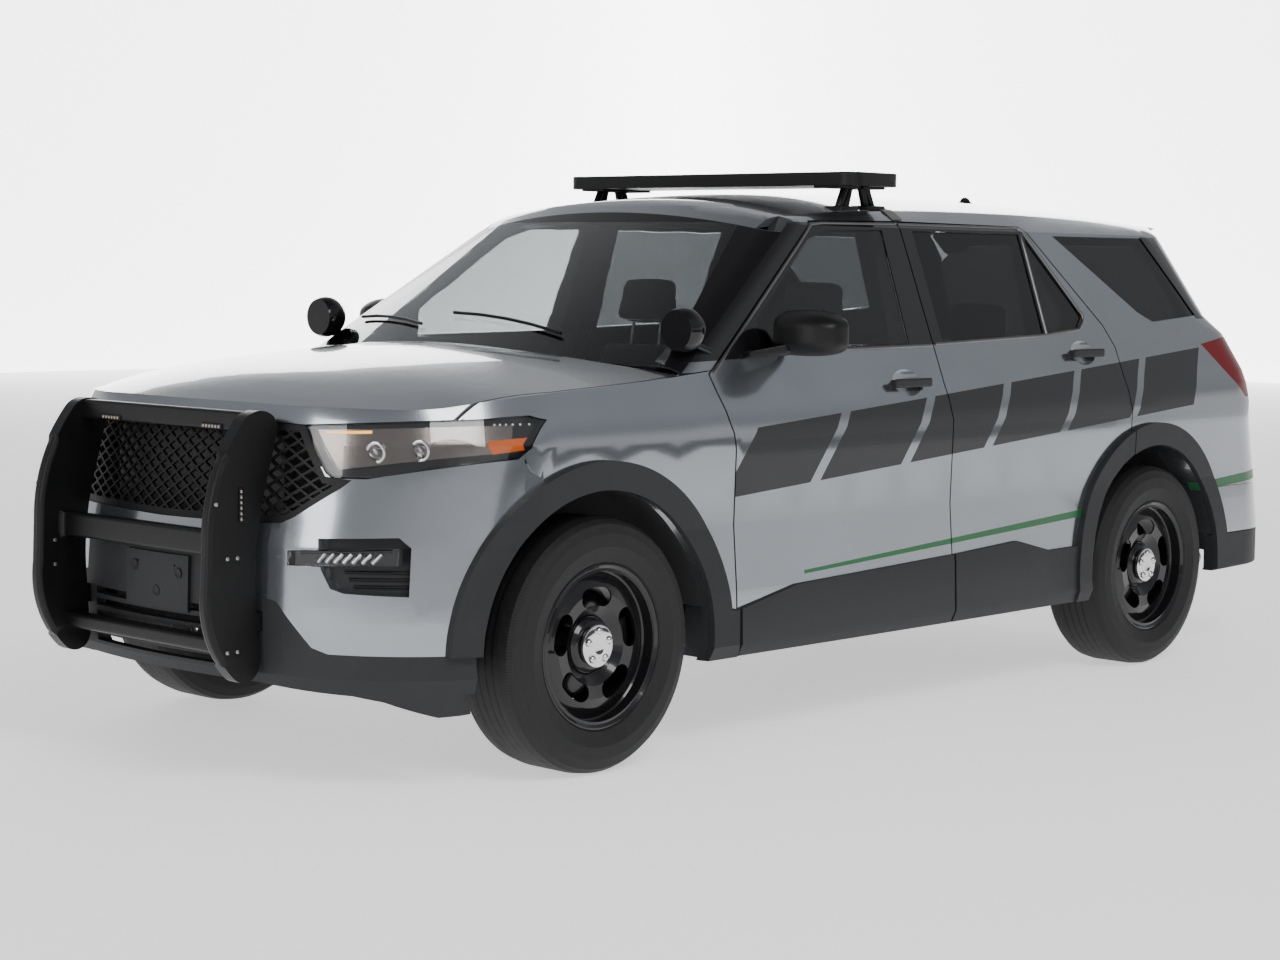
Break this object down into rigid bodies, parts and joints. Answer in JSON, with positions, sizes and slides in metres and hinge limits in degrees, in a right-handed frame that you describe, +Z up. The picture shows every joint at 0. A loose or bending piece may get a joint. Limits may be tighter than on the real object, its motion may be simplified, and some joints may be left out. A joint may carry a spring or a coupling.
{
  "type": "sport utility vehicle",
  "caption": "Police-type sport utility vehicle with push bumper, roof light bar and spotlights, opening doors, hood and liftgate, steered front wheels.",
  "frame": {"origin": "on the ground under the middle of the vehicle's bounding box", "axes": "+X forward, +Y to the vehicle's left, +Z up"},
  "size_m": [5.2011, 2.26, 1.828],
  "materials": {
    "paint": "metallic silver",
    "underbody": "satin black",
    "trim_black": "grained",
    "gloss_black": "gloss",
    "glass": "clear",
    "tinted_glass": "dark tint",
    "lamp_lens": "clear",
    "lamp_body": "reflective",
    "red_lens": "gloss",
    "steel_black": "powder coat",
    "tyre": "matte",
    "rim": "gloss black",
    "fabric": "woven",
    "cabin_plastic": "grained",
    "iron": "as cast",
    "steel": "dull"
  },
  "bodies": {
    "body": {"body_mouldings": "trim_black", "body_sides": "paint", "cowl": "trim_black", "dashboard": "cabin_plastic", "exhaust": "steel", "floor_pan": "underbody", "front_bumper": "paint", "front_fenders": "paint", "front_lamps": "lamp_lens", "front_valance": "trim_black", "grille": "gloss_black", "lamp_housings": "lamp_body", "light_bar": "gloss_black", "powertrain": "iron", "push_bumper": "steel_black", "quarter_windows": "tinted_glass", "rear_bumper": "paint", "roof_panel": "paint", "seat_bases": "cabin_plastic", "seats": "fabric", "spotlights": "gloss_black", "suspension": "iron", "tail_lamps": "red_lens", "windshield": "glass"},
    "hood": {"hood": "paint"},
    "liftgate": {"liftgate": "paint", "liftgate_glass": "tinted_glass"},
    "steering_wheel": {"steering_wheel": "cabin_plastic"},
    "front_door_left": {"front_door_left": "paint", "front_door_glass_left": "glass", "front_door_trim_left": "trim_black"},
    "front_wheel_left": {"front_tyre_left": "tyre", "front_wheel_left": "rim"},
    "rear_door_left": {"rear_door_left": "paint", "rear_door_glass_left": "tinted_glass", "rear_door_trim_left": "trim_black"},
    "rear_wheel_left": {"rear_tyre_left": "tyre", "rear_wheel_left": "rim"},
    "knuckle_left": {"knuckle_left": "iron"},
    "front_door_right": {"front_door_right": "paint", "front_door_glass_right": "glass", "front_door_trim_right": "trim_black"},
    "front_wheel_right": {"front_tyre_right": "tyre", "front_wheel_right": "rim"},
    "rear_door_right": {"rear_door_right": "paint", "rear_door_glass_right": "tinted_glass", "rear_door_trim_right": "trim_black"},
    "rear_wheel_right": {"rear_tyre_right": "tyre", "rear_wheel_right": "rim"},
    "knuckle_right": {"knuckle_right": "iron"}
  },
  "joints": [
    {"name": "front_door_left_hinge", "type": "hinge", "parent": "body", "child": "front_door_left", "pos_m": [1.021, 0.978, 0.8], "axis": [0, 0, -1], "range_deg": [0, 65]},
    {"name": "rear_door_left_hinge", "type": "hinge", "parent": "body", "child": "rear_door_left", "pos_m": [-0.114, 0.982, 0.8], "axis": [0, 0, -1], "range_deg": [0, 65]},
    {"name": "steer_left", "type": "hinge", "parent": "body", "child": "knuckle_left", "pos_m": [1.566, 0.8, 0.225], "axis": [0, -0.2309, 0.973], "range_deg": [-33, 33]},
    {"name": "front_wheel_left_spin", "type": "hinge", "parent": "knuckle_left", "child": "front_wheel_left", "pos_m": [1.566, 0.85, 0.381], "axis": [0, 1, 0], "continuous": true},
    {"name": "rear_wheel_left_spin", "type": "hinge", "parent": "body", "child": "rear_wheel_left", "pos_m": [-1.459, 0.85, 0.381], "axis": [0, 1, 0], "continuous": true},
    {"name": "front_door_right_hinge", "type": "hinge", "parent": "body", "child": "front_door_right", "pos_m": [1.021, -0.978, 0.8], "axis": [0, 0, 1], "range_deg": [0, 65]},
    {"name": "rear_door_right_hinge", "type": "hinge", "parent": "body", "child": "rear_door_right", "pos_m": [-0.114, -0.982, 0.8], "axis": [0, 0, 1], "range_deg": [0, 65]},
    {"name": "steer_right", "type": "hinge", "parent": "body", "child": "knuckle_right", "pos_m": [1.566, -0.8, 0.225], "axis": [0, 0.2309, 0.973], "range_deg": [-33, 33]},
    {"name": "front_wheel_right_spin", "type": "hinge", "parent": "knuckle_right", "child": "front_wheel_right", "pos_m": [1.566, -0.85, 0.381], "axis": [0, 1, 0], "continuous": true},
    {"name": "rear_wheel_right_spin", "type": "hinge", "parent": "body", "child": "rear_wheel_right", "pos_m": [-1.459, -0.85, 0.381], "axis": [0, 1, 0], "continuous": true},
    {"name": "hood_hinge", "type": "hinge", "parent": "body", "child": "hood", "pos_m": [1.136, 0, 1.165], "axis": [0, -1, 0], "range_deg": [0, 50]},
    {"name": "liftgate_hinge", "type": "hinge", "parent": "body", "child": "liftgate", "pos_m": [-2.071, 0, 1.736], "axis": [0, 1, 0], "range_deg": [0, 80]},
    {"name": "steering_wheel_turn", "type": "hinge", "parent": "body", "child": "steering_wheel", "pos_m": [0.556, 0.4, 1.01], "axis": [-0.8944, 0, 0.4472], "range_deg": [-500, 500]}
  ],
  "couplings": [
    {"joint": "steer_right", "follows": "steer_left", "ratio": 1}
  ]
}
